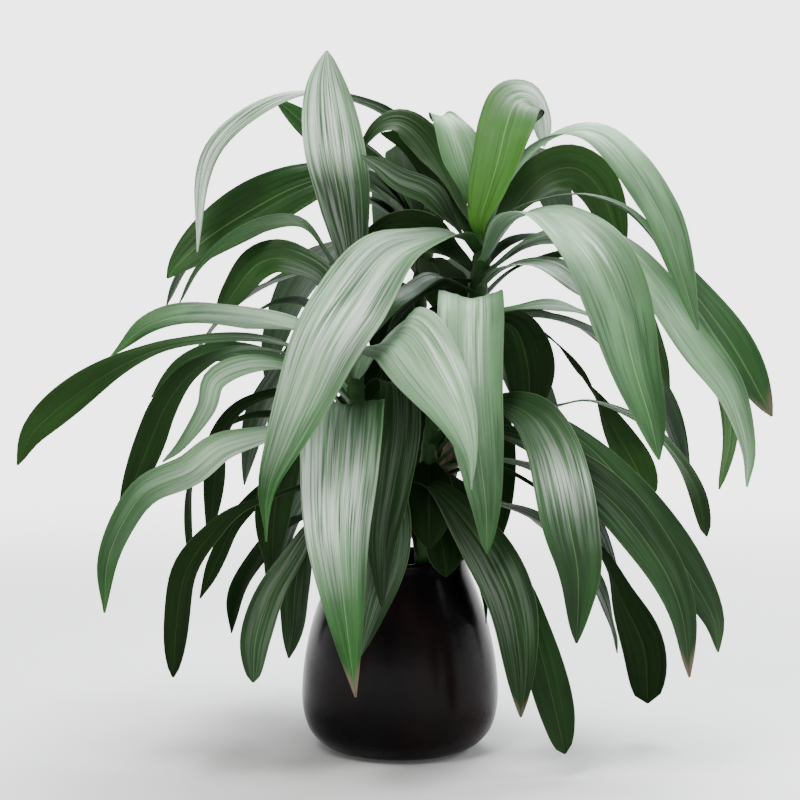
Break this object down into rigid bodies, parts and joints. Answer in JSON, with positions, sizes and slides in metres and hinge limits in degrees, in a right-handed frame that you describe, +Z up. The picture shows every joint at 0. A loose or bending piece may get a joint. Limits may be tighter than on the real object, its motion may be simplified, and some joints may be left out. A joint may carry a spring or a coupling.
{
  "type": "potted plant",
  "caption": "Broad-leaved dracaena in a round dark glazed pot: arching strap leaves in tufts on woody canes, standing on a flat foot.",
  "frame": {"origin": "middle of the pot's flat foot, on the surface that it stands on", "axes": "+Z up, -Y towards the pictured side, +X to that viewer's right"},
  "size_m": [0.8614, 0.7961, 0.8],
  "materials": {
    "pot_glaze": "gloss",
    "soil": "matte",
    "bark": "matte",
    "leaf": "satin"
  },
  "bodies": {
    "root": {"pot": "pot_glaze", "soil": "soil", "cane_tall": "bark", "cane_front": "bark", "cane_rear": "bark", "leafy_head_tall": "leaf", "leafy_head_front": "leaf", "leafy_head_low": "leaf", "leafy_head_rear": "leaf"}
  },
  "joints": []
}
